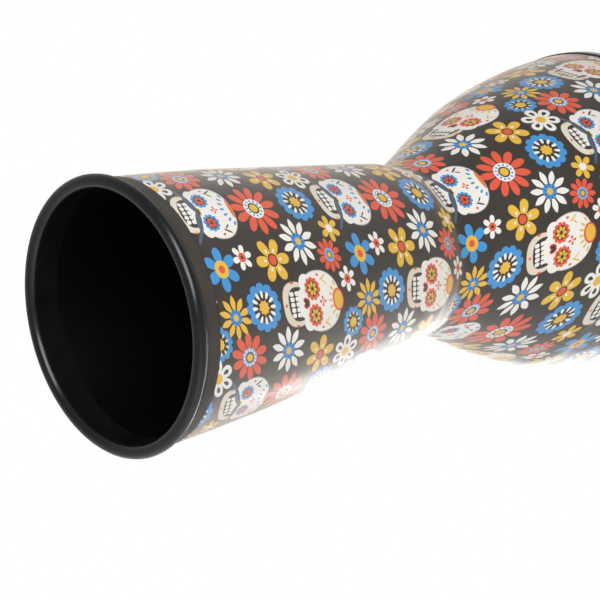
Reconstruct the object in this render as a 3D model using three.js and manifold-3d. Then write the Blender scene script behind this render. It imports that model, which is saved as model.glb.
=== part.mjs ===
// Goblet drum (darbuka) with hidden tuning, standing on its tail. Millimetres, +Z from the tail to the head.
// The origin is the centre of the plane that the tail ring rests on.
import * as THREE from 'three';
import { mergeVertices } from 'three/addons/utils/BufferGeometryUtils.js';
import Module from 'manifold-3d';

const wasm = await Module();
wasm.setup();

// ---- driving dimensions ------------------------------------------------------------------------
const GAP = 0.3;              // clearance kept between pieces that touch
const SEGMENTS = 32;          // facets round the drum's axis
const SMALL_SEGMENTS = 16;    // facets round a bolt's axis

const WALL = 3.2;             // cast shell wall
const WRAP = 0.3;             // printed film
const WRAP_START = 18;        // height of the film's lower edge
const WRAP_END = 443.4;       // height of the film's upper edge

const TAIL_BORE = 75.2;       // inner radius of the tail ring
const TAIL_SLEEVE_WALL = 3;
const TAIL_SLEEVE_TOP = 20;
const BEAD_CENTRE = 80.2;     // radius at which the bead's circle lies
const BEAD_RADIUS = 3.8;
const BEAD_TOP = 8.9;
const COLLAR_RADIUS = 80.6;   // bare lacquered collar between bead and film

const SHOULDER = 444;         // flat seat that closes the bowl, under the tension ring
const NECK_OUTER = 102.6;     // stub of shell that carries the bearing edge
const NECK_INNER = 98.6;
const BEARING_TOP = 461.3;
const BEARING_ROUND = 3;

const FILM = 0.4;             // drumhead film
const FILM_SKIRT = 104.3;     // inner radius of the film's skirt where the hoop grips it
const SKIRT_BEND = 452;
const SKIRT_BOTTOM = 448.7;

const HOOP = { inner: 102.9, outer: 106.4, bottom: 446.6, top: 451.4, grooveFloor: 448.2 };

const RING = { outer: 119.6, bore: 105.2, recess: 106.8, bottom: 445.2, seat: 451.8, top: 461, round: 7 };

const BOLT_COUNT = 8;
const BOLT_CIRCLE = 112;      // radius of the bolt circle
const BOLT_RADIUS = 2.5;      // M5
const BOLT_LENGTH = 25;
const BOLT_HEAD_RADIUS = 4.75;
const BOLT_HEAD_HEIGHT = 2.75;
const SOCKET_RADIUS = 1.75;   // 3 mm hexagon key
const SOCKET_DEPTH = 1.6;
const BOLT_HOLE = BOLT_RADIUS + GAP;
const POCKET_RADIUS = 5.3;
const POCKET_FLOOR = 455;
const WASHER_RADIUS = 5;
const WASHER_THICKNESS = 0.8;
const INSERT_RADIUS = 3.5;
const INSERT_LENGTH = 9.7;

// Outer face of the printed film, as [radius, height]: a long tail that tapers, rolls into a tight
// waist, and opens into the bowl.
const OUTLINE = [
  [80.6, 18], [77.2, 76], [71.6, 136], [66.6, 188], [62.8, 226], [60.2, 237.5], [57.2, 247],
  [59.2, 258.5], [68.9, 283], [84.7, 316], [98.8, 348], [109.3, 384], [116, 418], [118.6, 444],
];

// ---- finishes ----------------------------------------------------------------------------------
const finish = (color, roughness, metalness) => () =>
  new THREE.MeshStandardMaterial({ color, roughness, metalness });
const lacquer = finish(0x1c1916, 0.35, 0.1);
const print = finish(0x2c2622, 0.35, 0);
const blackMoulding = finish(0x17181a, 0.45, 0);
const clearFilm = finish(0xe9e8e2, 0.4, 0);
const aluminium = finish(0xb9bbbd, 0.35, 0.9);
const blackCasting = finish(0x1a1a1c, 0.4, 0.2);
const blackSteel = finish(0x26272a, 0.4, 0.7);
const steel = finish(0xa9abad, 0.35, 0.9);
const brass = finish(0xb8924a, 0.35, 0.9);

// ---- small tools -------------------------------------------------------------------------------
// Leaves only welded positions, with the faces turned outwards.
function weld(geometry) {
  geometry.deleteAttribute('normal');
  geometry.deleteAttribute('uv');
  const welded = mergeVertices(geometry, 1e-4);
  const position = welded.getAttribute('position');
  const index = Array.from(welded.index.array);
  const corner = [new THREE.Vector3(), new THREE.Vector3(), new THREE.Vector3()];
  const kept = [];
  let volume = 0;
  for (let i = 0; i < index.length; i += 3) {
    const face = index.slice(i, i + 3);
    if (new Set(face).size < 3) continue;
    kept.push(...face);
    face.forEach((vertex, k) => corner[k].fromBufferAttribute(position, vertex));
    volume += corner[0].dot(corner[1].clone().cross(corner[2]));
  }
  welded.setIndex(volume < 0 ? kept.reverse() : kept);
  return welded;
}

// Turns a closed [radius, height] outline round the Z axis.
function turned(outline, segments = SEGMENTS) {
  const points = outline.map(([radius, height]) => new THREE.Vector2(radius, height));
  return weld(new THREE.LatheGeometry(points, segments).rotateX(Math.PI / 2));
}

// A closed outline repeats its first point.
const closed = (outline) => [...outline, outline[0]];

// Points on a circular arc, angles in degrees.
function arc(centreRadius, centreHeight, size, from, to, steps) {
  return Array.from({ length: steps + 1 }, (_, i) => {
    const angle = THREE.MathUtils.degToRad(from + ((to - from) * i) / steps);
    return [centreRadius + size * Math.cos(angle), centreHeight + size * Math.sin(angle)];
  });
}

function solid(geometry) {
  return new wasm.Manifold(new wasm.Mesh({
    numProp: 3,
    vertProperties: new Float32Array(geometry.getAttribute('position').array),
    triVerts: new Uint32Array(geometry.index.array),
  }));
}

function geometryOf(manifold) {
  const { vertProperties, triVerts } = manifold.getMesh();
  const geometry = new THREE.BufferGeometry();
  geometry.setAttribute('position', new THREE.BufferAttribute(vertProperties, 3));
  geometry.setIndex(new THREE.BufferAttribute(triVerts, 1));
  return geometry;
}

// An upright cylinder between two heights on the Z axis.
function upright(radius, bottom, top, segments = SMALL_SEGMENTS) {
  const cylinder = new THREE.CylinderGeometry(radius, radius, top - bottom, segments);
  cylinder.rotateX(Math.PI / 2).translate(0, 0, (bottom + top) / 2);
  return weld(cylinder);
}

const boltAngles = Array.from({ length: BOLT_COUNT }, (_, i) => (2 * Math.PI * (i + 0.5)) / BOLT_COUNT);
const boltPlaces = boltAngles.map((angle) =>
  new THREE.Vector3(BOLT_CIRCLE * Math.cos(angle), BOLT_CIRCLE * Math.sin(angle), 0));

// Cuts one upright hole of each given size at every bolt.
function drilled(geometry, holes) {
  let body = solid(geometry);
  for (const place of boltPlaces) {
    for (const { radius, bottom, top } of holes) {
      body = body.subtract(solid(upright(radius, bottom, top).translate(place.x, place.y, 0)));
    }
  }
  return geometryOf(body);
}

const drum = new THREE.Group();
function add(name, geometry, material, place) {
  const mesh = new THREE.Mesh(geometry, material());
  mesh.name = name;
  if (place) mesh.position.copy(place);
  drum.add(mesh);
}

// ---- outline of the body -----------------------------------------------------------------------
const curve = new THREE.CatmullRomCurve3(
  OUTLINE.map(([radius, height]) => new THREE.Vector3(radius, height, 0)), false, 'centripetal');
const OUTLINE_STEPS = 22;

// The outline moved inwards by a depth, from the tail to the mouth.
function inwards(depth) {
  return Array.from({ length: OUTLINE_STEPS + 1 }, (_, i) => {
    const point = curve.getPoint(i / OUTLINE_STEPS);
    const along = curve.getTangent(i / OUTLINE_STEPS);
    return [point.x - depth * along.y, point.y + depth * along.x];
  });
}

const SHELL_DEPTH = WRAP + GAP;
const outside = inwards(SHELL_DEPTH);
const inside = inwards(SHELL_DEPTH + WALL);

// ---- shell: one casting, tail to bearing edge, with a thick flange for the bolts ------------------
const FLANGE_ROOT = 421;      // height where the flange grows out of the bowl's wall
const FLANGE_EDGE = 438;
const sleeveSeat = TAIL_BORE + TAIL_SLEEVE_WALL + GAP;
const sleeveStop = TAIL_SLEEVE_TOP + GAP;
const shellOutline = closed([
  [sleeveSeat, BEAD_TOP + GAP],
  [COLLAR_RADIUS, BEAD_TOP + GAP],
  [COLLAR_RADIUS, WRAP_START - GAP],
  [outside[0][0], WRAP_START - GAP],
  ...outside.slice(1, -1),
  [outside.at(-1)[0], SHOULDER],
  [NECK_OUTER, SHOULDER],
  ...arc(NECK_OUTER - BEARING_ROUND, BEARING_TOP - BEARING_ROUND, BEARING_ROUND, 0, 90, 3),
  [NECK_INNER, BEARING_TOP - 1],
  [NECK_INNER, FLANGE_EDGE],
  ...inside.filter(([, height]) => height < FLANGE_ROOT && height > sleeveStop).reverse(),
  [inside[0][0], sleeveStop],
  [sleeveSeat, sleeveStop],
]);
const insertTop = SHOULDER - GAP;
const insertBottom = insertTop - INSERT_LENGTH;
const boltTop = POCKET_FLOOR + GAP + WASHER_THICKNESS + GAP;
const boltTip = boltTop - BOLT_LENGTH;
const shell = drilled(turned(shellOutline), [
  { radius: INSERT_RADIUS + GAP, bottom: insertBottom - GAP, top: SHOULDER + 1 },
  { radius: BOLT_HOLE, bottom: boltTip - 1, top: SHOULDER },
]);
add('shell', shell, lacquer);

// ---- printed film laid over the shell --------------------------------------------------------------
const wrapFace = inwards(0);
const wrapBack = inwards(WRAP);
add('printed_wrap', turned(closed([
  ...wrapFace.slice(0, -1),
  [wrapFace.at(-1)[0], WRAP_END],
  [wrapBack.at(-1)[0], WRAP_END],
  ...wrapBack.slice(1, -1).reverse(),
  [wrapBack[0][0], WRAP_START],
])), print);

// ---- tail ring: a moulded bead with a sleeve that reaches into the tail -----------------------------
const LIP_WIDTH = 3.8;        // the inner lip is a quarter of an ellipse, this wide
const LIP_HEIGHT = 4.6;
const LIP_STEPS = 4;
const lip = Array.from({ length: LIP_STEPS + 1 }, (_, i) => {
  const turn = (Math.PI / 2) * (i / LIP_STEPS);
  return [TAIL_BORE + LIP_WIDTH * (1 - Math.cos(turn)), LIP_HEIGHT * (1 - Math.sin(turn))];
});
add('tail_ring', turned(closed([
  ...lip,
  ...arc(BEAD_CENTRE, BEAD_RADIUS, BEAD_RADIUS, -90, 35, 6),
  [82.1, 6.8],
  [81.1, 7.9],
  [80.7, BEAD_TOP],
  [TAIL_BORE + TAIL_SLEEVE_WALL, BEAD_TOP],
  [TAIL_BORE + TAIL_SLEEVE_WALL, TAIL_SLEEVE_TOP],
  [TAIL_BORE, TAIL_SLEEVE_TOP],
])), blackMoulding);

// ---- drumhead: a film drawn over the bearing edge and held in a flesh hoop --------------------------
const edgeRadius = NECK_OUTER - BEARING_ROUND;
const edgeHeight = BEARING_TOP - BEARING_ROUND;
const underFilm = BEARING_ROUND + GAP;
add('drumhead_film', turned([
  [0, edgeHeight + underFilm],
  ...arc(edgeRadius, edgeHeight, underFilm, 90, 0, 3),
  [FILM_SKIRT, SKIRT_BEND],
  [FILM_SKIRT, SKIRT_BOTTOM],
  [FILM_SKIRT + FILM, SKIRT_BOTTOM],
  [FILM_SKIRT + FILM, SKIRT_BEND],
  ...arc(edgeRadius, edgeHeight, underFilm + FILM, 0, 90, 3),
  [0, edgeHeight + underFilm + FILM],
]), clearFilm);

add('flesh_hoop', turned(closed([
  [HOOP.inner, HOOP.bottom],
  [HOOP.outer, HOOP.bottom],
  [HOOP.outer, HOOP.top],
  [FILM_SKIRT + FILM + GAP, HOOP.top],
  [FILM_SKIRT + FILM + GAP, HOOP.grooveFloor],
  [FILM_SKIRT - GAP, HOOP.grooveFloor],
  [FILM_SKIRT - GAP, HOOP.top],
  [HOOP.inner, HOOP.top],
])), aluminium);

// ---- tension ring: presses the hoop down, with a round shoulder to play over -----------------------
const RING_BREAK = 0.8;
add('tension_ring', drilled(turned(closed([
  [RING.recess, RING.bottom],
  [RING.outer - RING_BREAK, RING.bottom],
  [RING.outer, RING.bottom + RING_BREAK],
  ...arc(RING.outer - RING.round, RING.top - RING.round, RING.round, 0, 90, 4),
  [RING.bore + RING_BREAK, RING.top],
  [RING.bore, RING.top - RING_BREAK],
  [RING.bore, RING.seat],
  [RING.recess, RING.seat],
])), [
  { radius: BOLT_HOLE, bottom: RING.bottom - 1, top: POCKET_FLOOR + 1 },
  { radius: POCKET_RADIUS, bottom: POCKET_FLOOR, top: RING.top + 1 },
]), blackCasting);

// ---- bolts, washers and threaded inserts -----------------------------------------------------------
const dome = [
  [BOLT_HEAD_RADIUS, boltTop], [BOLT_HEAD_RADIUS, boltTop + 0.6],
  [BOLT_HEAD_RADIUS * 0.84, boltTop + 0.72 * BOLT_HEAD_HEIGHT],
  [BOLT_HEAD_RADIUS * 0.5, boltTop + BOLT_HEAD_HEIGHT],
];
const boltBlank = turned([
  [0, boltTip], [BOLT_RADIUS - 0.5, boltTip], [BOLT_RADIUS, boltTip + 0.5],
  [BOLT_RADIUS, boltTop], ...dome, [0, boltTop + BOLT_HEAD_HEIGHT],
], SMALL_SEGMENTS);
const headTop = boltTop + BOLT_HEAD_HEIGHT;
const socket = upright(SOCKET_RADIUS, headTop - SOCKET_DEPTH, headTop + 1, 6);
const bolt = geometryOf(solid(boltBlank).subtract(solid(socket)));

const tube = (inner, outer, bottom, top) =>
  turned(closed([[inner, bottom], [outer, bottom], [outer, top], [inner, top]]), SMALL_SEGMENTS);
const washer = tube(BOLT_HOLE, WASHER_RADIUS, POCKET_FLOOR + GAP, POCKET_FLOOR + GAP + WASHER_THICKNESS);
const insert = tube(BOLT_HOLE, INSERT_RADIUS, insertBottom, insertTop);

boltPlaces.forEach((place, i) => {
  add(`tuning_bolt_${i + 1}`, bolt, blackSteel, place);
  add(`bolt_washer_${i + 1}`, washer, steel, place);
  add(`threaded_insert_${i + 1}`, insert, brass, place);
});

export default drum;
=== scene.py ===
# Goblet drum: the fine surfaces, the floral print and the hardware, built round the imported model.
import math

import bmesh
import bpy
from mathutils import Matrix, Vector


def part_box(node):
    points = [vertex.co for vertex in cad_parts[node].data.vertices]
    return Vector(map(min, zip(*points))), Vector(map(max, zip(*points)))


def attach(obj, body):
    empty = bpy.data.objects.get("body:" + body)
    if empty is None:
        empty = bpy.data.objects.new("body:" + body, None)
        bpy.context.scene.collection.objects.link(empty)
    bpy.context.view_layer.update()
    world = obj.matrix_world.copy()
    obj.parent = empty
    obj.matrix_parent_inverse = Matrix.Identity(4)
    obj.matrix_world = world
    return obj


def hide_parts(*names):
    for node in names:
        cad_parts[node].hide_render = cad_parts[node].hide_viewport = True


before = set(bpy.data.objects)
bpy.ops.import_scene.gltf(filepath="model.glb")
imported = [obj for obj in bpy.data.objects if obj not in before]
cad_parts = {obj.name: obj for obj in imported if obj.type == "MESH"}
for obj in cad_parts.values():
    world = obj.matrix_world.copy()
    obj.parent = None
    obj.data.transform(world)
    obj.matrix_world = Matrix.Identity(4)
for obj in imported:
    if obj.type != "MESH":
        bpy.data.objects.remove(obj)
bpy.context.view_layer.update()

MM = 0.001
scene = bpy.context.scene

# ---- camera ---------------------------------------------------------------------------------------
EYE = Vector((0.0, -0.7841, -0.5529))      # below the tail, looking up into it
AIM = Vector((0.01574, -0.0003, 0.14997))
ROLL = math.radians(-76.41)                # lays the drum on its side in the picture
LENS_MM = 99
SENSOR_MM = 36


def make_camera():
    data = bpy.data.cameras.new("view")
    data.lens = LENS_MM
    data.sensor_width = SENSOR_MM
    camera = bpy.data.objects.new("view", data)
    scene.collection.objects.link(camera)
    toward = (AIM - EYE).to_track_quat("-Z", "Y").to_matrix().to_4x4()
    camera.matrix_world = Matrix.Translation(EYE) @ toward @ Matrix.Rotation(-ROLL, 4, "Z")
    scene.camera = camera


# ---- studio ---------------------------------------------------------------------------------------
BACKDROP = 1.0                             # the room as it is seen
ROOM_LEVEL = 0.28                          # the room as it lights the drum, towards the viewer
BACKDROP_GLOW = 0.35                       # more light from behind the drum
TABLE_GLOW = 0.50                          # more light from the side that lies lowest in the picture
GLOW_REACH = 0.15                          # how far the light from behind wraps round to the sides
GLOW_BLEND = 0.2
FLOOR_SIZE = 8.0
FLOOR_GAP = 0.0002
FLOOR_COLOUR = (0.86, 0.86, 0.85, 1)
FLOOR_ROUGHNESS = 0.7


def make_floor():
    """A pale floor for the views from above. The view from below looks and is lit straight through it."""
    mesh = bpy.data.meshes.new("floor")
    bm = bmesh.new()
    bmesh.ops.create_grid(bm, x_segments=1, y_segments=1, size=FLOOR_SIZE / 2)
    bm.to_mesh(mesh)
    bm.free()
    floor = bpy.data.objects.new("floor", mesh)
    scene.collection.objects.link(floor)
    material = bpy.data.materials.new("studio_floor")
    material.use_nodes = True
    tree = material.node_tree
    surface = tree.nodes["Principled BSDF"]
    surface.inputs["Base Color"].default_value = FLOOR_COLOUR
    surface.inputs["Roughness"].default_value = FLOOR_ROUGHNESS
    side = tree.nodes.new("ShaderNodeNewGeometry")
    clear = tree.nodes.new("ShaderNodeBsdfTransparent")
    mix = tree.nodes.new("ShaderNodeMixShader")
    tree.links.new(side.outputs["Backfacing"], mix.inputs[0])
    tree.links.new(surface.outputs[0], mix.inputs[1])
    tree.links.new(clear.outputs[0], mix.inputs[2])
    tree.links.new(mix.outputs[0], tree.nodes["Material Output"].inputs["Surface"])
    mesh.materials.append(material)
    floor.location.z = -FLOOR_GAP
    floor.visible_diffuse = False
    floor.visible_glossy = False
    floor.visible_shadow = False


def make_world():
    """A white room. The backdrop is plain white, and less light falls on the drum from the viewer's side."""
    world = bpy.data.worlds.new("white_room")
    world.use_nodes = True
    g = Tree(world.node_tree)
    direction = g.node("ShaderNodeTexCoord").outputs["Generated"]
    away = g.node("ShaderNodeVectorMath", operation="DOT_PRODUCT")
    g.feed(away.inputs[0], direction)
    away.inputs[1].default_value = (AIM - EYE).normalized()
    downward = g.split(direction)[0]
    behind = g.math("MAXIMUM", g.math("ADD", away.outputs["Value"], GLOW_REACH), 0.0)
    behind = g.math("SMOOTH_MIN", behind, 1.0, GLOW_BLEND)
    level = g.math("MULTIPLY_ADD", behind, BACKDROP_GLOW, ROOM_LEVEL)
    level = g.math("MULTIPLY_ADD", g.math("MAXIMUM", downward, 0.0), TABLE_GLOW, level)
    seen = g.node("ShaderNodeLightPath").outputs["Is Camera Ray"]
    strength = g.math("MULTIPLY_ADD", seen, g.math("SUBTRACT", BACKDROP, level), level)
    background = world.node_tree.nodes["Background"]
    background.inputs["Color"].default_value = (1, 1, 1, 1)
    g.feed(background.inputs["Strength"], strength)
    scene.world = world


def softbox(name, place, aim, size, power):
    data = bpy.data.lights.new(name, "AREA")
    data.shape = "RECTANGLE"
    data.size, data.size_y = size
    data.energy = power
    light = bpy.data.objects.new(name, data)
    scene.collection.objects.link(light)
    place = Vector(place)
    light.matrix_world = Matrix.Translation(place) @ (
        (Vector(aim) - place).to_track_quat("-Z", "Y").to_matrix().to_4x4()
    )
    light.visible_camera = False


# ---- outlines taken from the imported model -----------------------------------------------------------
CAD_FACETS = 32                            # facets round the axis of every large turned node
FINE_STEPS = 192                           # facets round the axis of the fine surfaces
CORNER = math.radians(35)                  # a sharper turn than this is a corner
STRAIGHT_RATIO = 3.5                       # a run this much longer than its neighbour stays straight
SMOOTH_ANGLE = math.radians(32)            # faces that meet at less than this are shaded as one surface
FILLET = 0.3 * MM                          # how far a broken corner reaches along its sides
FILLET_POINTS = 4
FILLET_SHARE = 0.3                         # a corner takes no more of a side than this
WELD = 1e-6


def section(node, turn=math.pi / CAD_FACETS):
    """The closed outline of a turned node as (radius, height) points, cut through the middle of a facet."""
    cut = bmesh.new()
    cut.from_mesh(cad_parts[node].data)
    bmesh.ops.remove_doubles(cut, verts=cut.verts, dist=1e-7)
    bmesh.ops.bisect_plane(
        cut,
        geom=cut.verts[:] + cut.edges[:] + cut.faces[:],
        dist=1e-7,
        plane_co=(0, 0, 0),
        plane_no=(-math.sin(turn), math.cos(turn), 0),
        clear_inner=True,
        clear_outer=True,
    )
    near = [v for v in cut.verts if v.co.x < -1e-6]
    bmesh.ops.delete(cut, geom=near, context="VERTS")
    bmesh.ops.remove_doubles(cut, verts=cut.verts, dist=2e-6)
    cut.verts.ensure_lookup_table()
    start = min(cut.verts, key=lambda v: (v.co.z, -v.co.x))
    ends = [v for v in cut.verts if len(v.link_edges) == 1]
    if ends:
        start = min(ends, key=lambda v: v.co.z)
    chain, edge, vertex = [start], None, start
    while True:
        onward = [e for e in vertex.link_edges if e is not edge]
        if not onward:
            break
        edge = onward[0]
        vertex = edge.other_vert(vertex)
        if vertex is start:
            break
        chain.append(vertex)
    flat = math.cos(math.pi / CAD_FACETS)
    points = [Vector((math.hypot(v.co.x, v.co.y) / flat, v.co.z)) for v in chain]
    cut.free()
    return points, not ends


def turn_at(before, here, after):
    a, b = here - before, after - here
    return abs(a.angle_signed(b, 0.0))


def is_break(before, here, after):
    a, b = (here - before).length, (after - here).length
    return turn_at(before, here, after) > CORNER or max(a, b) > STRAIGHT_RATIO * min(a, b)


def through(p0, p1, p2, p3, t):
    """A point on the centripetal Catmull-Rom curve from p1 to p2."""
    k1 = math.sqrt((p1 - p0).length) or 1e-9
    k2 = k1 + (math.sqrt((p2 - p1).length) or 1e-9)
    k3 = k2 + (math.sqrt((p3 - p2).length) or 1e-9)
    at = k1 + (k2 - k1) * t
    a1 = p0.lerp(p1, at / k1)
    a2 = p1.lerp(p2, (at - k1) / (k2 - k1))
    a3 = p2.lerp(p3, (at - k2) / (k3 - k2))
    b1 = a1.lerp(a2, at / k2)
    b2 = a2.lerp(a3, (at - k1) / (k3 - k1))
    return b1.lerp(b2, (at - k1) / (k2 - k1))


def refined(points, closed, step, fillet=FILLET):
    """The outline with its round stretches made smooth and its corners broken by a small radius."""
    count = len(points)

    def at(i):
        return points[i % count] if closed else points[max(0, min(count - 1, i))]

    def broken(i):
        if not closed and i % count in (0, count - 1):
            return True
        return is_break(at(i - 1), at(i), at(i + 1))

    fine = []
    for i in range(count if closed else count - 1):
        p1, p2 = at(i), at(i + 1)
        p0 = p1 + (p1 - p2) if broken(i) else at(i - 1)
        p3 = p2 + (p2 - p1) if broken(i + 1) else at(i + 2)
        pieces = max(1, math.ceil((p2 - p1).length / step))
        corner = broken(i) and (closed or i > 0) and turn_at(at(i - 1), p1, p2) > CORNER
        if corner:
            back, ahead = at(i - 1) - p1, p2 - p1
            reach = min(fillet, FILLET_SHARE * back.length, FILLET_SHARE * ahead.length)
            a, b = p1 + back.normalized() * reach, p1 + ahead.normalized() * reach
            for k in range(FILLET_POINTS):
                t = k / (FILLET_POINTS - 1)
                fine.append(a.lerp(p1, t).lerp(p1.lerp(b, t), t))
        else:
            fine.append(p1.copy())
        for k in range(1, pieces):
            fine.append(through(p0, p1, p2, p3, k / pieces))
    if not closed:
        fine.append(points[-1].copy())
    return fine


def lathe(name, outline, closed, steps=FINE_STEPS, centre=(0, 0)):
    """Spins an outline of (radius, height) points about an upright axis into a piece."""
    bm = bmesh.new()
    verts = [bm.verts.new((p.x, 0, p.y)) for p in outline]
    pairs = list(zip(verts, verts[1:] + verts[:1] if closed else verts[1:]))
    edges = [bm.edges.new(pair) for pair in pairs]
    bmesh.ops.spin(
        bm, geom=verts + edges, cent=(0, 0, 0), axis=(0, 0, 1), dvec=(0, 0, 0),
        angle=2 * math.pi, steps=steps, use_merge=True,
    )
    bmesh.ops.remove_doubles(bm, verts=bm.verts, dist=WELD)
    bmesh.ops.recalc_face_normals(bm, faces=bm.faces)
    bmesh.ops.translate(bm, verts=bm.verts, vec=(centre[0], centre[1], 0))
    return piece(name, bm)


def shade(mesh):
    """Smooth shading with crisp edges."""
    mesh.polygons.foreach_set("use_smooth", [True] * len(mesh.polygons))
    mesh.set_sharp_from_angle(angle=SMOOTH_ANGLE)


def piece(name, bm):
    mesh = bpy.data.meshes.new(name)
    bm.to_mesh(mesh)
    bm.free()
    shade(mesh)
    made = bpy.data.objects.new(name, mesh)
    scene.collection.objects.link(made)
    return made


def turned_piece(name, node, step, fillet=FILLET):
    outline, closed = section(node)
    return lathe(name, refined(outline, closed, step, fillet), closed)


def stand_for(made, node, material, body="drum_body"):
    made.data.materials.append(material)
    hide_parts(node)
    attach(made, body)


# ---- node trees -----------------------------------------------------------------------------------
class Tree:
    """Adds nodes to one tree. Each method gives back the new node's output socket."""

    def __init__(self, tree):
        self.tree = tree

    def node(self, kind, **settings):
        made = self.tree.nodes.new(kind)
        for key, value in settings.items():
            setattr(made, key, value)
        return made

    def feed(self, socket, value):
        if isinstance(value, bpy.types.NodeSocket):
            self.tree.links.new(value, socket)
        elif value is not None:
            socket.default_value = value

    def math(self, operation, *values, clamp=False):
        made = self.node("ShaderNodeMath", operation=operation, use_clamp=clamp)
        for socket, value in zip(made.inputs, values):
            self.feed(socket, value)
        return made.outputs[0]

    def mix(self, factor, under, over):
        made = self.node("ShaderNodeMix", data_type="RGBA")
        self.feed(made.inputs[0], factor)
        self.feed(made.inputs[6], under)
        self.feed(made.inputs[7], over)
        return made.outputs[2]

    def noise(self, vector, scale, detail=2.0, roughness=0.5):
        made = self.node("ShaderNodeTexNoise")
        self.feed(made.inputs["Vector"], vector)
        made.inputs["Scale"].default_value = scale
        made.inputs["Detail"].default_value = detail
        made.inputs["Roughness"].default_value = roughness
        return made.outputs["Fac"]

    def ramp(self, factor, *stops):
        made = self.node("ShaderNodeValToRGB")
        self.feed(made.inputs[0], factor)
        elements = made.color_ramp.elements
        while len(elements) < len(stops):
            elements.new(0.5)
        for element, (position, colour) in zip(elements, stops):
            element.position = position
            element.color = colour
        return made.outputs[0]

    def cloudy(self, vector, scale, dark, light, detail=3):
        """A colour or a grey that drifts between two values."""
        return self.ramp(self.noise(vector, scale, detail), (0.3, dark), (0.7, light))

    def bump(self, height, distance, strength=1.0):
        made = self.node("ShaderNodeBump")
        made.inputs["Strength"].default_value = strength
        made.inputs["Distance"].default_value = distance
        self.feed(made.inputs["Height"], height)
        return made.outputs[0]

    def place(self):
        return self.node("ShaderNodeTexCoord").outputs["Object"]

    def split(self, vector):
        made = self.node("ShaderNodeSeparateXYZ")
        self.feed(made.inputs[0], vector)
        return made.outputs

    def length(self, x, y):
        return self.math("SQRT", self.math("MULTIPLY_ADD", x, x, self.math("MULTIPLY", y, y)))


def grey(value):
    return (value, value, value, 1)


def new_material(name, roughness, metallic=0.0, **sockets):
    material = bpy.data.materials.new(name)
    material.use_nodes = True
    surface = material.node_tree.nodes["Principled BSDF"]
    surface.inputs["Roughness"].default_value = roughness
    surface.inputs["Metallic"].default_value = metallic
    for key, value in sockets.items():
        surface.inputs[key.replace("_", " ")].default_value = value
    return material, Tree(material.node_tree), surface


scene.view_settings.view_transform = "Standard"
make_camera()
make_world()
make_floor()
softbox("key_light", place=(-0.45, -0.95, -0.62), aim=(0, 0, 0.2), size=(0.9, 0.9), power=15)
softbox("table_light", place=(1.1, -0.5, -0.4), aim=(0, 0, 0.15), size=(1.2, 1.2), power=1.5)
softbox("top_light", place=(0.35, 0.45, 1.3), aim=(0, 0, 0.3), size=(1.0, 1.0), power=7)


# ---- the print --------------------------------------------------------------------------------------
# The film carries one tile, repeated. Its sizes are in millimetres on the flat film, and heights run
# from the film's lower edge towards the head.
TILE_WIDTH = 119.0
TILE_HEIGHT = 116.8
EDGE_SOFTNESS = 0.12                       # width of the blur at a printed edge

GROUND = (0.018, 0.0125, 0.0085, 1)
INK_SHADE = (0.16, 0.13, 0.10, 1)          # the grain of the print lies between the ink and this
WHITE = (0.96, 0.93, 0.87, 1)
CREAM = (0.83, 0.74, 0.58, 1)
RED = (0.84, 0.092, 0.034, 1)
ORANGE = (0.85, 0.20, 0.045, 1)
YELLOW = (0.88, 0.52, 0.040, 1)
BLUE = (0.038, 0.31, 0.70, 1)
PALE_BLUE = (0.28, 0.45, 0.74, 1)
NAVY = (0.02, 0.10, 0.32, 1)
SLATE = (0.06, 0.10, 0.17, 1)
PALE_CREAM = (0.85, 0.78, 0.66, 1)

FLOWER_INPUTS = (
    ("Under", "NodeSocketColor"), ("U", "NodeSocketFloat"), ("V", "NodeSocketFloat"),
    ("Across", "NodeSocketFloat"), ("Up", "NodeSocketFloat"), ("Turn", "NodeSocketFloat"),
    ("Petals", "NodeSocketFloat"), ("Root", "NodeSocketFloat"), ("Tip", "NodeSocketFloat"),
    ("Width", "NodeSocketFloat"), ("Point", "NodeSocketFloat"), ("Petal", "NodeSocketColor"),
    ("Disc", "NodeSocketFloat"), ("Disc Colour", "NodeSocketColor"),
    ("Eye", "NodeSocketFloat"), ("Eye Colour", "NodeSocketColor"),
)


def group(name, inputs):
    tree = bpy.data.node_groups.new(name, "ShaderNodeTree")
    for label, kind in inputs:
        tree.interface.new_socket(label, in_out="INPUT", socket_type=kind)
    tree.interface.new_socket("Colour", in_out="OUTPUT", socket_type="NodeSocketColor")
    start = tree.nodes.new("NodeGroupInput").outputs
    end = tree.nodes.new("NodeGroupOutput").inputs[0]
    return tree, Tree(tree), start, end


def inside(g, size, distance):
    """1 where distance is less than size, with a soft edge."""
    return g.math("MULTIPLY_ADD", g.math("SUBTRACT", size, distance), 1 / EDGE_SOFTNESS, 0.5, clamp=True)


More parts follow.
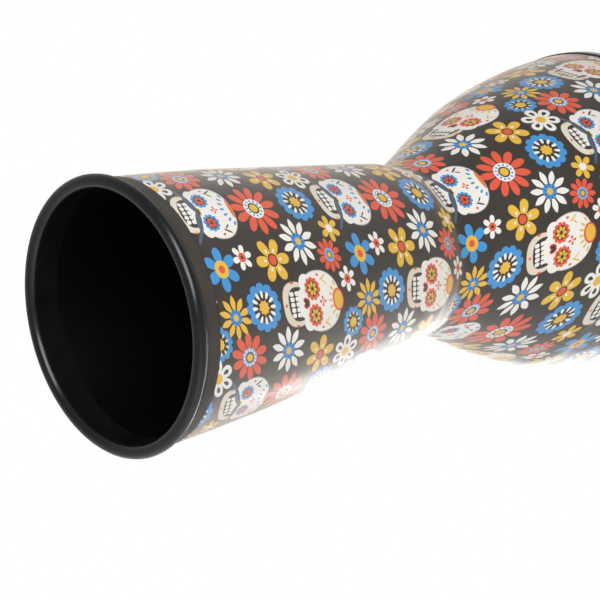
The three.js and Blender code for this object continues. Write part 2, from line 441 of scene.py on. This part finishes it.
def flower_group():
    """One ring of egg-shaped petals with a disc and an eye, on whatever colour lies under it."""
    tree, g, start, end = group("flower", FLOWER_INPUTS)
    dx = g.math("WRAP", g.math("SUBTRACT", start["U"], start["Across"]), TILE_WIDTH / 2, -TILE_WIDTH / 2)
    dy = g.math("WRAP", g.math("SUBTRACT", start["V"], start["Up"]), TILE_HEIGHT / 2, -TILE_HEIGHT / 2)
    radius = g.length(dx, dy)
    angle = g.math("ADD", g.math("ARCTAN2", dy, dx), start["Turn"])
    half = g.math("DIVIDE", math.pi, start["Petals"])
    swing = g.math("WRAP", angle, half, g.math("MULTIPLY", half, -1.0))
    along = g.math("MULTIPLY", radius, g.math("COSINE", swing))
    across = g.math("MULTIPLY", radius, g.math("SINE", swing))
    length = g.math("MULTIPLY", g.math("SUBTRACT", start["Tip"], start["Root"]), 0.5)
    reach = g.math("DIVIDE", g.math("SUBTRACT", g.math("SUBTRACT", along, start["Root"]), length), length)
    width = g.math("MULTIPLY", start["Width"], g.math("MULTIPLY_ADD", reach, 0.28, 0.86))
    side = g.math("DIVIDE", across, width)
    taper = g.math("MULTIPLY", g.math("ABSOLUTE", side), g.math("MAXIMUM", reach, 0.0))
    oval = g.math("MULTIPLY_ADD", reach, reach, g.math("MULTIPLY", side, side))
    oval = g.math("SQRT", g.math("MULTIPLY_ADD", taper, start["Point"], oval))
    colour = g.mix(inside(g, 1.0, oval), start["Under"], start["Petal"])
    colour = g.mix(inside(g, start["Disc"], radius), colour, start["Disc Colour"])
    colour = g.mix(inside(g, start["Eye"], radius), colour, start["Eye Colour"])
    g.feed(end, colour)
    return tree


PATCH_INPUTS = (
    ("Under", "NodeSocketColor"), ("U", "NodeSocketFloat"), ("V", "NodeSocketFloat"),
    ("Across", "NodeSocketFloat"), ("Up", "NodeSocketFloat"), ("Turn", "NodeSocketFloat"),
    ("Half Width", "NodeSocketFloat"), ("Half Height", "NodeSocketFloat"),
    ("Squareness", "NodeSocketFloat"), ("Colour", "NodeSocketColor"),
)


def patch_group():
    """A filled oval, or a rounder or squarer patch, on whatever colour lies under it."""
    tree, g, start, end = group("patch", PATCH_INPUTS)
    dx = g.math("SUBTRACT", start["U"], start["Across"])
    dy = g.math("SUBTRACT", start["V"], start["Up"])
    cosine, sine = g.math("COSINE", start["Turn"]), g.math("SINE", start["Turn"])
    x = g.math("MULTIPLY_ADD", dx, cosine, g.math("MULTIPLY", dy, sine))
    y = g.math("SUBTRACT", g.math("MULTIPLY", dy, cosine), g.math("MULTIPLY", dx, sine))
    x = g.math("POWER", g.math("ABSOLUTE", g.math("DIVIDE", x, start["Half Width"])), start["Squareness"])
    y = g.math("POWER", g.math("ABSOLUTE", g.math("DIVIDE", y, start["Half Height"])), start["Squareness"])
    g.feed(end, g.mix(inside(g, 1.0, g.math("ADD", x, y)), start["Under"], start["Colour"]))
    return tree


class Print:
    """Lays printed shapes one over another on the film."""

    def __init__(self, tree, u, v):
        self.g = tree
        self.u, self.v = u, v
        self.colour = GROUND
        self.flower_tree, self.patch_tree = flower_group(), patch_group()

    def lay(self, shape, values):
        made = self.g.node("ShaderNodeGroup", node_tree=shape)
        self.g.feed(made.inputs["Under"], self.colour)
        for label, value in values.items():
            self.g.feed(made.inputs[label], value)
        self.colour = made.outputs[0]

    def flower(self, across, up, petals, root, tip, width, petal, disc=0.0, disc_colour=GROUND,
               eye=0.0, eye_colour=YELLOW, turn=0.0, where=None, point=0.0):
        u, v = where or (self.u, self.v)
        self.lay(self.flower_tree, {
            "U": u, "V": v, "Across": across, "Up": up, "Turn": turn, "Petals": float(petals),
            "Root": root, "Tip": tip, "Width": width, "Point": point, "Petal": petal,
            "Disc": disc, "Disc Colour": disc_colour, "Eye": eye, "Eye Colour": eye_colour,
        })

    def patch(self, where, across, up, half_width, half_height, colour, turn=0.0, squareness=2.0):
        self.lay(self.patch_tree, {
            "U": where[0], "V": where[1], "Across": across, "Up": up, "Turn": turn,
            "Half Width": half_width, "Half Height": half_height,
            "Squareness": squareness, "Colour": colour,
        })

    def local(self, across, up):
        """Coordinates about a point of the tile: signed, and with the left side mirrored onto the right."""
        g = self.g
        x = g.math("WRAP", g.math("SUBTRACT", self.u, across), TILE_WIDTH / 2, -TILE_WIDTH / 2)
        y = g.math("WRAP", g.math("SUBTRACT", self.v, up), TILE_HEIGHT / 2, -TILE_HEIGHT / 2)
        return x, g.math("ABSOLUTE", x), y


def daisy(p, across, up, size, petals, colour, ring, dots, width_share=0.17, turn=0.0, point=0.25):
    """Long petals round a ring of dots and a yellow eye."""
    p.flower(across, up, petals, size * 0.28, size, size * width_share, colour,
             size * 0.40, ring, turn=turn, point=point)
    p.flower(across, up, 12, size * 0.25, size * 0.35, size * 0.045, dots,
             size * 0.225, GROUND, size * 0.165, YELLOW)


def star_daisy(p, across, up, size, petals, colour, width_share=0.175, turn=0.0):
    """Pointed petals round a blue heart of small leaves."""
    p.flower(across, up, petals, size * 0.30, size, size * width_share, colour,
             size * 0.36, BLUE, turn=turn, point=1.1)
    p.flower(across, up, 9, size * 0.20, size * 0.33, size * 0.05, NAVY, size * 0.15, YELLOW)


def blossom(p, across, up, size, petals, colour, eye, eye_colour, ring_colour=None,
            width_share=0.27, turn=0.0):
    """A few broad petals round an eye with a ring."""
    p.flower(across, up, petals, size * 0.10, size, size * width_share, colour,
             size * (eye + 0.07), ring_colour or GROUND, size * eye, eye_colour, turn)


def dot(p, across, up, radius, colour):
    p.flower(across, up, 6, 0.1, 0.2, 0.1, colour, eye=radius, eye_colour=colour)


def glint(p, across, up, size, petals, turn=0.0):
    """Light drops on the roots of a blossom's petals."""
    p.flower(across, up, petals, size * 0.36, size * 0.56, size * 0.065, WHITE, turn=turn, point=0.6)


def rosette(p, across, up, size, scallops, petals, petal_colour, eye_share=0.27):
    """A scalloped ring round a dark bed of small petals."""
    p.flower(across, up, scallops, size * 0.60, size, size * 0.215, BLUE, size * 0.88, BLUE,
             size * 0.62, GROUND)
    p.flower(across, up, petals, size * (eye_share + 0.10), size * 0.68, size * 0.085, petal_colour,
             size * (eye_share - 0.03), YELLOW)
    p.flower(across, up, 9, size * 0.12, size * (eye_share + 0.03), size * 0.07, YELLOW)


TOOTH_PITCH = 3.0
FAR_AWAY = 90.0                            # moves what lies past the last tooth out of every tooth


def eye_flower(p, where, across, up, size, ring, petal, heart):
    """The flower that fills an eye socket."""
    p.flower(across, up, 11, size * 0.68, size, size * 0.21, ring, size * 0.86, ring,
             size * 0.66, GROUND, where=where)
    p.flower(across, up, 7, size * 0.16, size * 0.60, size * 0.17, petal, size * 0.12, heart, where=where)


def skull(p, across, up, k, wide, eyes, trim, moustache):
    """A plain decorated skull: round cranium, open jaw, flower eyes and ornaments of its own.

    Its places and sizes are millimetres on a skull 35 mm wide, which k enlarges and wide broadens.
    """
    ring, petal = eyes
    x, side, y = p.local(across, up)
    both, whole = (side, y), (x, y)
    w = k * wide
    jaw = CREAM if moustache is None else PALE_CREAM
    p.patch(whole, 0, -14.5 * k, 12.6 * w, 10.0 * k, jaw, squareness=2.5)
    p.patch(whole, 0, -12.6 * k, 9.6 * w, 7.6 * k, GROUND, squareness=2.5)
    p.patch(whole, 0, 6 * k, 17.4 * w, 16.5 * k, WHITE, squareness=2.2)
    p.patch(both, 10.6 * w, -4.6 * k, 5.6 * w, 5.0 * k, WHITE)
    p.patch(whole, 0, -7.5 * k, 8.2 * w, 5.0 * k, WHITE, squareness=3.0)
    tooth = p.g.math("WRAP", x, TOOTH_PITCH / 2 * w, -TOOTH_PITCH / 2 * w)
    past = p.g.math("GREATER_THAN", side, 2.5 * TOOTH_PITCH * w)
    tooth = p.g.math("MULTIPLY_ADD", past, FAR_AWAY, tooth)
    for row, height in ((-12.6, 1.9), (-17.0, 1.6)):
        p.patch((tooth, y), 0, row * k, 1.25 * w, height * k, WHITE, squareness=3.2)
    eye_flower(p, both, 7.6 * w, 0.4 * k, 6.3 * k, ring, petal, GROUND)
    p.patch(both, 1.15 * w, -6.0 * k, 1.9 * w, 2.7 * k, trim, turn=0.35)
    p.patch(both, 1.05 * w, -6.1 * k, 1.2 * w, 2.0 * k, GROUND, turn=0.35)
    p.flower(0, 7.6 * k, 4, 0.4 * k, 2.9 * k, 0.85 * k, RED, where=whole)
    if moustache is None:
        p.patch(whole, 0, 20.6 * k, 6.6 * w, 4.6 * k, RED)
        p.patch(whole, 0, 20.9 * k, 5.3 * w, 3.5 * k, YELLOW)
    else:
        p.patch(whole, 0, 21.2 * k, 6.4 * w, 1.5 * k, ORANGE)
    beads = YELLOW if moustache is None else BLUE
    p.patch(whole, 0, 14.2 * k, 0.75 * w, 1.7 * k, beads)
    for out, height, turn in ((3.6, 14.8, 0.35), (6.8, 16.3, 0.7), (9.4, 18.6, 1.05)):
        p.patch(both, out * w, height * k, 0.75 * w, 1.7 * k, beads, turn=turn)
    brow = beads if moustache is None else GROUND
    p.patch(both, 13.4 * w, 10.4 * k, 0.55 * w, 3.4 * k, brow, turn=-0.5)
    p.patch(both, 10.8 * w, 11.0 * k, 0.45 * w, 2.3 * k, brow, turn=0.7)
    p.patch(both, 15.0 * w, 6.4 * k, 0.8 * w, 1.1 * k, RED)
    p.patch(both, 12.2 * w, -15.0 * k, 0.75 * w, 1.4 * k, trim)
    p.patch(whole, 0, -22.2 * k, 0.9 * w, 0.9 * k, RED)
    if moustache:
        p.patch(both, 5.6 * w, -8.6 * k, 6.2 * w, 2.3 * k, moustache, turn=-0.30)
        p.patch(both, 13.8 * w, -12.2 * k, 6.6 * w, 1.35 * k, moustache, turn=-0.62)


def film_print(g):
    """The whole tile, each motif at its place on the film."""
    uv = g.node("ShaderNodeUVMap", uv_map="film")
    across, up, _ = g.split(uv.outputs[0])
    p = Print(g, g.math("MULTIPLY", across, 1 / MM), g.math("MULTIPLY", up, 1 / MM))
    skull(p, -5.5, 15.5, 0.93, 1.18, (BLUE, RED), YELLOW, SLATE)
    skull(p, 55.0, 75.2, 1.07, 0.94, (RED, YELLOW), RED, None)
    daisy(p, -4, 53.5, 18.0, 11, RED, WHITE, BLUE)
    daisy(p, 80.5, 16.4, 14.5, 10, RED, PALE_BLUE, WHITE, width_share=0.20)
    daisy(p, 29.5, 98, 10.0, 10, RED, PALE_BLUE, BLUE, width_share=0.20)
    star_daisy(p, 20, 75.6, 14.4, 10, WHITE)
    star_daisy(p, 81, 50, 14.8, 10, WHITE)
    star_daisy(p, 57, 9.8, 12.2, 10, YELLOW)
    blossom(p, 30.5, 9, 12.4, 6, BLUE, 0.33, YELLOW, YELLOW)
    dot(p, 30.5, 9, 2.3, RED)
    blossom(p, 29, 49.8, 13.0, 6, YELLOW, 0.22, RED, turn=0.5)
    glint(p, 29, 49.8, 13.0, 6, turn=0.5)
    blossom(p, 88, 80.5, 13.2, 6, YELLOW, 0.21, RED, turn=0.2)
    glint(p, 88, 80.5, 13.2, 6, turn=0.2)
    blossom(p, 25.5, 27, 7.4, 6, WHITE, 0.30, RED, RED, turn=0.3)
    dot(p, 25.5, 27, 1.0, GROUND)
    blossom(p, 44, 108.6, 7.4, 6, WHITE, 0.30, RED, RED)
    dot(p, 44, 108.6, 1.0, GROUND)
    blossom(p, 13.8, 106.6, 8.4, 6, YELLOW, 0.24, WHITE, WHITE)
    rosette(p, -6, 90.3, 13.8, 12, 11, WHITE)
    rosette(p, 54, 33.1, 13.6, 12, 12, WHITE)
    rosette(p, 70, 111, 9.8, 11, 10, CREAM, eye_share=0.33)
    p.flower(90, 107, 6, 1.5, 12.2, 3.9, WHITE)
    p.flower(90, 107, 6, 5.0, 9.4, 1.5, GROUND, 3.4, YELLOW)
    return p.colour


def printed_film():
    """The print under its satin clear coat, with a warm haze where it turns away."""
    material, g, surface = new_material(
        "printed_film", 0.5, Coat_Weight=1.0, Coat_Roughness=0.22, Specular_IOR_Level=0.4,
        Sheen_Weight=0.70, Sheen_Roughness=0.35, Sheen_Tint=(1.0, 0.80, 0.60, 1),
    )
    place = g.place()
    ink = film_print(g)
    grain = g.math("MULTIPLY", g.noise(place, 1400, 2), 0.13)
    cloud = g.math("MULTIPLY_ADD", g.noise(place, 35, 3), 0.06, grain)
    g.feed(surface.inputs["Base Color"], g.mix(cloud, ink, INK_SHADE))
    g.feed(surface.inputs["Roughness"], g.cloudy(place, 300, grey(0.42), grey(0.58)))
    g.feed(surface.inputs["Coat Normal"], g.bump(g.noise(place, 260, 2), 0.00002, 0.35))
    return material


# ---- other finishes -----------------------------------------------------------------------------------
COLLAR_INNER = 79 * MM                     # the lacquered collar lies outside this radius
COLLAR_TOP = 22 * MM


def black_lacquer():
    """Near-black lacquer: on the bare collar lightened and warmed by a painted warm reflection, and inside
    darkened to near zero as painted shade.
    """
    material, g, surface = new_material("black_lacquer", 0.42, Specular_IOR_Level=0.30)
    place = g.place()
    x, y, z = g.split(place)
    outside = g.math("GREATER_THAN", g.length(x, y), COLLAR_INNER)
    collar = g.math("MULTIPLY", outside, g.math("LESS_THAN", z, COLLAR_TOP))
    # Inside: black lacquer darkened to near zero, painted shade of the deep inside of the drum.
    inside_black_and_painted_shade = g.cloudy(place, 120, (0.0008, 0.0008, 0.0008, 1), (0.0014, 0.0013, 0.0012, 1), 4)
    # Collar: partly its own warm near-black lacquer, partly a painted warm reflection of the studio light
    # that makes it lighter.
    warm = g.cloudy(place, 90, (0.046, 0.039, 0.032, 1), (0.062, 0.053, 0.044, 1), 4)
    g.feed(surface.inputs["Base Color"], g.mix(collar, inside_black_and_painted_shade, warm))
    g.feed(surface.inputs["Normal"], g.bump(g.noise(place, 700, 3), 0.0001, 0.4))
    return material


def black_moulding():
    material, g, surface = new_material("black_moulding", 0.24, Specular_IOR_Level=0.50)
    place = g.place()
    tone = g.cloudy(place, 60, (0.0045, 0.0048, 0.0055, 1), (0.0075, 0.008, 0.009, 1))
    g.feed(surface.inputs["Base Color"], tone)
    g.feed(surface.inputs["Roughness"], g.cloudy(place, 400, grey(0.20), grey(0.27)))
    g.feed(surface.inputs["Normal"], g.bump(g.noise(place, 900, 2), 0.00002, 0.15))
    return material


def black_enamel():
    material, g, surface = new_material("black_enamel", 0.3, Coat_Weight=0.6, Coat_Roughness=0.18)
    place = g.place()
    tone = g.cloudy(place, 80, (0.010, 0.010, 0.011, 1), (0.018, 0.018, 0.019, 1), 4)
    g.feed(surface.inputs["Base Color"], tone)
    g.feed(surface.inputs["Normal"], g.bump(g.noise(place, 500, 3), 0.00006, 0.35))
    return material


COATING_EDGE = 96 * MM                     # the white coating ends here, short of the bearing edge
COATING_RAGGEDNESS = 0.8 * MM


def drumhead():
    """A white coated film whose bare border is milky grey."""
    material, g, surface = new_material("drumhead_film", 0.42, Specular_IOR_Level=0.45)
    place = g.place()
    x, y, _ = g.split(place)
    ragged = g.math("MULTIPLY_ADD", g.noise(place, 90, 4), COATING_RAGGEDNESS, g.length(x, y))
    coated = g.cloudy(place, 45, (0.66, 0.64, 0.59, 1), (0.76, 0.74, 0.69, 1), 5)
    bare = g.cloudy(place, 60, (0.40, 0.40, 0.38, 1), (0.47, 0.47, 0.45, 1), 3)
    g.feed(surface.inputs["Base Color"], g.mix(g.math("GREATER_THAN", ragged, COATING_EDGE), coated, bare))
    g.feed(surface.inputs["Normal"], g.bump(g.noise(place, 1200, 2), 0.00005, 0.4))
    return material


def metal(name, dark, light, roughness, grain=300):
    material, g, surface = new_material(name, roughness, metallic=1.0)
    place = g.place()
    g.feed(surface.inputs["Base Color"], g.cloudy(place, grain, dark, light))
    g.feed(surface.inputs["Normal"], g.bump(g.noise(place, grain * 4, 2), 0.00003, 0.3))
    return material


# ---- body: shell, film and tail ring -----------------------------------------------------------------
LONG_STEP = 4 * MM
FINE_STEP = 1 * MM
FILM_FILLET = 0.08 * MM                    # the printed film is too thin for a larger one

shell = turned_piece("shell_casting", "shell", LONG_STEP)
stand_for(shell, "shell", black_lacquer())

PRINT_COLUMN = math.radians(240.8)         # the azimuth at which the tile's columns run straight up
ACROSS_START = 4.0 * MM                    # where that column falls on the tile
ACROSS_SCALE = 0.946
ACROSS_LEAN = -0.0276                      # how the columns lean as they climb
UP_START = -2.9 * MM
UP_SCALE = 1.026                           # how much the film is drawn along the drum
ROW_TILT = 0.1415                          # how the rows tilt and sag round the tail
ROW_SAG = -0.396
LEVEL_TILT = 219 * MM                      # the height on the film at which they run level
LEVEL_SAG = 262 * MM
INWARD_STEP = 0.1 * MM                     # a first step further in than this runs along the film's end


def wrap_print(made, outline):
    """Gives the film its flat coordinates: across by arc from the print's column, up along the outline."""
    run, stations = 0.0, []
    rising = outer_run(outline)
    for before, here in zip([rising[0]] + rising, rising):
        run += (here - before).length
        stations.append((here.y, run))

    def run_at(height):
        for (h0, s0), (h1, s1) in zip(stations, stations[1:]):
            if height <= h1:
                return s0 + (s1 - s0) * max(0.0, height - h0) / max(h1 - h0, 1e-9)
        return stations[-1][1]

    heights = {}
    layer = made.data.uv_layers.new(name="film")
    for face in made.data.polygons:
        middle = math.atan2(face.center.y, face.center.x)
        for loop in face.loop_indices:
            co = made.data.vertices[made.data.loops[loop].vertex_index].co
            key = round(co.z, 6)
            if key not in heights:
                heights[key] = run_at(co.z)
            up = heights[key]
            radius = math.hypot(co.x, co.y)
            swing = math.remainder(middle - PRINT_COLUMN, 2 * math.pi)
            swing += math.remainder(math.atan2(co.y, co.x) - middle, 2 * math.pi)
            tilt = ROW_TILT * radius * math.sin(swing) * (1 - up / LEVEL_TILT)
            sag = ROW_SAG * radius * (1 - math.cos(swing)) * (1 - up / LEVEL_SAG)
            layer.data[loop].uv = (
                ACROSS_START + ACROSS_SCALE * radius * swing + ACROSS_LEAN * up,
                UP_START + UP_SCALE * up + tilt + sag,
            )


def outer_run(outline):
    """The outer run of a closed thin outline, from its lowest point to its highest."""
    lowest = min(range(len(outline)), key=lambda i: (round(outline[i].y, 5), -outline[i].x))
    loop = outline[lowest:] + outline[:lowest]
    if loop[1].y < loop[0].y or loop[1].x < loop[0].x - INWARD_STEP:
        loop = [loop[0]] + loop[:0:-1]
    highest = max(range(len(loop)), key=lambda i: (round(loop[i].y, 5), loop[i].x))
    return loop[: highest + 1]


film_outline, _ = section("printed_wrap")
film_outline = refined(film_outline, True, LONG_STEP, FILM_FILLET)
film = lathe("printed_skin", film_outline, True)
wrap_print(film, film_outline)
stand_for(film, "printed_wrap", printed_film())

tail_ring = turned_piece("tail_ring_moulding", "tail_ring", FINE_STEP)
stand_for(tail_ring, "tail_ring", black_moulding())

# ---- holes ------------------------------------------------------------------------------------------
BOLTS = [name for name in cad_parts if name.startswith("tuning_bolt")]
HOLE_STEPS = 48


def centre_of(node):
    low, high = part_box(node)
    return (low + high) / 2


def bored(made, bores):
    """Cuts round holes out of a piece. Each bore is (radius, lowest, highest), at every bolt."""
    cutters = bpy.data.meshes.new("bores")
    bm = bmesh.new()
    for name in BOLTS:
        middle = centre_of(name)
        for radius, low, high in bores:
            place = Matrix.Translation((middle.x, middle.y, (low + high) / 2))
            bmesh.ops.create_cone(
                bm, cap_ends=True, segments=HOLE_STEPS, radius1=radius, radius2=radius,
                depth=high - low, matrix=place,
            )
    bm.to_mesh(cutters)
    bm.free()
    cutter = bpy.data.objects.new("bores", cutters)
    scene.collection.objects.link(cutter)
    cut = made.modifiers.new("bores", "BOOLEAN")
    cut.operation = "DIFFERENCE"
    cut.solver = "EXACT"
    cut.use_self = True
    cut.object = cutter
    bpy.context.view_layer.update()
    solid = bpy.data.meshes.new_from_object(made.evaluated_get(bpy.context.evaluated_depsgraph_get()))
    made.modifiers.clear()
    made.data = solid
    shade(solid)
    bpy.data.objects.remove(cutter)


# ---- head: film, hoop, tension ring ---------------------------------------------------------------------
BOLT_RADIUS = 2.5 * MM
CLEARANCE = 0.3 * MM
SHANK_WELL = 8 * MM                        # the hole goes on this far under each insert
HEAD_STEP = 8 * MM
HEAD_FILLET = 0.1 * MM

washer_low, washer_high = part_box("bolt_washer_1")
insert_low, insert_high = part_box("threaded_insert_1")
washer_radius = (washer_high.x - washer_low.x) / 2
insert_radius = (insert_high.x - insert_low.x) / 2
ring_low, ring_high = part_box("tension_ring")

bored(shell, [
    (insert_radius + 0.5 * CLEARANCE, insert_low.z - CLEARANCE, insert_high.z + 4 * CLEARANCE),
    (BOLT_RADIUS + CLEARANCE, insert_low.z - SHANK_WELL, insert_low.z),
])

head = turned_piece("head_film", "drumhead_film", HEAD_STEP, HEAD_FILLET)
stand_for(head, "drumhead_film", drumhead())
hoop = turned_piece("hoop_channel", "flesh_hoop", FINE_STEP)
stand_for(hoop, "flesh_hoop", metal("hoop_aluminium", (0.6, 0.6, 0.61, 1), (0.74, 0.74, 0.75, 1), 0.38))
ring = turned_piece("tension_ring_casting", "tension_ring", FINE_STEP)
bored(ring, [
    (BOLT_RADIUS + CLEARANCE, ring_low.z - MM, washer_low.z + MM),
    (washer_radius + CLEARANCE, washer_low.z - CLEARANCE, ring_high.z + MM),
])
stand_for(ring, "tension_ring", black_enamel(), "tension_ring")


# ---- bolts, washers and inserts -----------------------------------------------------------------------
THREAD_PITCH = 0.8 * MM
THREAD_DEPTH = 0.42 * MM
THREAD_STEPS = 20                          # facets to a turn of thread
HEAD_STEPS = 48
SOCKET_FLATS = 3.0 * MM                    # across the flats of the hexagon
SOCKET_DEPTH = 1.6 * MM
SOCKET_RIM = 2.1 * MM
DOME_STEPS = 8
TIP_CHAMFER = 0.5 * MM
TIP_HEIGHT = 0.6 * MM
RUN_OUT = 0.4 * MM                         # where the core widens to the full shank under the head
HEAD_EDGE = 0.15 * MM
HEAD_FLANK = 0.7 * MM                      # the upright part of the head, under its dome
THREAD_SHARE = 0.42                        # of the pitch, from the crest to the root on each side
CREST = 0.06 * MM                          # half of the flat on the thread's crest
SINK = 0.05 * MM                           # how far the thread's foot lies inside the core
THREAD_START = 0.3 * MM                    # bare length at the tip
BARE_SHANK = 4 * MM                        # unthreaded length under the washer

def bolt_outline(low, washer_top, high, head_radius):
    """From the tip's middle up the shank, out under the head and over its dome to the socket's rim."""
    root = BOLT_RADIUS - THREAD_DEPTH
    points = [(0, low), (root - TIP_CHAMFER, low), (root, low + TIP_HEIGHT), (root, washer_top - RUN_OUT)]
    points += [(BOLT_RADIUS, washer_top), (head_radius - HEAD_EDGE, washer_top)]
    points += [(head_radius, washer_top + HEAD_EDGE), (head_radius, washer_top + HEAD_FLANK)]
    reach, rise = head_radius - SOCKET_RIM, high - washer_top - HEAD_FLANK
    for k in range(1, DOME_STEPS + 1):
        turn = math.pi / 2 * k / DOME_STEPS
        height = washer_top + HEAD_FLANK + rise * math.sin(turn)
        points.append((SOCKET_RIM + reach * math.cos(turn), height))
    return [Vector(p) for p in points]


def add_socket(bm, top):
    """Closes the head with a hexagon socket inside its round rim."""
    rim = [e for e in bm.edges if e.is_boundary]
    hexagon = bmesh.ops.create_circle(
        bm, segments=6, radius=SOCKET_FLATS / math.sqrt(3), matrix=Matrix.Translation((0, 0, top)),
    )["verts"]
    sides = list({e for v in hexagon for e in v.link_edges})
    cuts = len(rim) // 6 - 1
    split = bmesh.ops.subdivide_edges(bm, edges=sides, cuts=cuts)["geom_inner"]
    points = set(hexagon) | {v for v in split if isinstance(v, bmesh.types.BMVert)}
    sides = [e for e in bm.edges if e.verts[0] in points and e.verts[1] in points]
    bmesh.ops.bridge_loops(bm, edges=rim + sides)
    walls = bmesh.ops.extrude_edge_only(bm, edges=sides)["geom"]
    floor = [v for v in walls if isinstance(v, bmesh.types.BMVert)]
    bmesh.ops.translate(bm, verts=floor, vec=(0, 0, -SOCKET_DEPTH))
    edges = [e for e in walls if isinstance(e, bmesh.types.BMEdge)]
    bmesh.ops.contextual_create(bm, geom=[e for e in edges if all(v in floor for v in e.verts)])


def add_thread(bm, low, high):
    """A helical ridge wound up the shank."""
    root = BOLT_RADIUS - THREAD_DEPTH - SINK
    crest = BOLT_RADIUS - SINK
    half = THREAD_PITCH * THREAD_SHARE
    ridge = [(root, -half), (crest, -CREST), (crest, CREST), (root, half)]
    start = low + half + THREAD_START
    turns = (high - half - start) / THREAD_PITCH
    steps = int(turns * THREAD_STEPS)
    verts = [bm.verts.new((r, 0, start + z)) for r, z in ridge]
    edges = [bm.edges.new((a, b)) for a, b in zip(verts, verts[1:] + verts[:1])]
    bm.faces.new(verts)
    spun = bmesh.ops.spin(
        bm, geom=verts + edges, cent=(0, 0, 0), axis=(0, 0, 1),
        dvec=(0, 0, THREAD_PITCH / THREAD_STEPS), angle=2 * math.pi * steps / THREAD_STEPS, steps=steps,
    )["geom_last"]
    bmesh.ops.contextual_create(bm, geom=[v for v in spun if isinstance(v, bmesh.types.BMVert)])


def make_bolt(node, material):
    low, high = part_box(node)
    middle = centre_of(node)
    bm = bmesh.new()
    outline = bolt_outline(low.z, washer_high.z + CLEARANCE, high.z, (high.x - low.x) / 2)
    verts = [bm.verts.new((p.x, 0, p.y)) for p in outline]
    edges = [bm.edges.new(pair) for pair in zip(verts, verts[1:])]
    bmesh.ops.spin(
        bm, geom=verts + edges, cent=(0, 0, 0), axis=(0, 0, 1), dvec=(0, 0, 0),
        angle=2 * math.pi, steps=HEAD_STEPS, use_merge=True,
    )
    bmesh.ops.remove_doubles(bm, verts=bm.verts, dist=WELD)
    add_socket(bm, high.z)
    bmesh.ops.recalc_face_normals(bm, faces=bm.faces)
    add_thread(bm, low.z, washer_low.z - BARE_SHANK)
    bmesh.ops.recalc_face_normals(bm, faces=bm.faces)
    bmesh.ops.translate(bm, verts=bm.verts, vec=(middle.x, middle.y, 0))
    made = piece(node.replace("tuning_bolt", "button_head_bolt"), bm)
    stand_for(made, node, material, node)


GROOVE_DEPTH = 0.4 * MM


def collar(name, node, body, inner, material, edge, waists=()):
    """A small turned ring with broken edges, and grooves round its outside where waists are given."""
    low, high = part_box(node)
    middle = centre_of(node)
    outer = (high.x - low.x) / 2
    points = [(inner, low.z + edge), (inner + edge, low.z), (outer - edge, low.z), (outer, low.z + edge)]
    for share in waists:
        z = low.z + (high.z - low.z) * share
        points += [(outer, z - edge), (outer - GROOVE_DEPTH, z), (outer, z + edge)]
    points += [(outer, high.z - edge), (outer - edge, high.z), (inner + edge, high.z), (inner, high.z - edge)]
    made = lathe(name, [Vector(p) for p in points], True, HEAD_STEPS, (middle.x, middle.y))
    stand_for(made, node, material, body)


bolt_steel = metal("black_steel", (0.05, 0.05, 0.055, 1), (0.10, 0.10, 0.11, 1), 0.38)
washer_steel = metal("washer_steel", (0.5, 0.5, 0.5, 1), (0.66, 0.66, 0.65, 1), 0.32)
insert_brass = metal("insert_brass", (0.55, 0.38, 0.14, 1), (0.72, 0.53, 0.24, 1), 0.36)
bore = BOLT_RADIUS + CLEARANCE
for bolt in BOLTS:
    number = bolt.rsplit("_", 1)[1]
    make_bolt(bolt, bolt_steel)
    collar(f"plain_washer_{number}", f"bolt_washer_{number}", "tension_ring", bore, washer_steel, 0.12 * MM)
    collar(f"brass_insert_{number}", f"threaded_insert_{number}", "drum_body", bore, insert_brass,
           0.25 * MM, waists=(0.3, 0.5, 0.7))
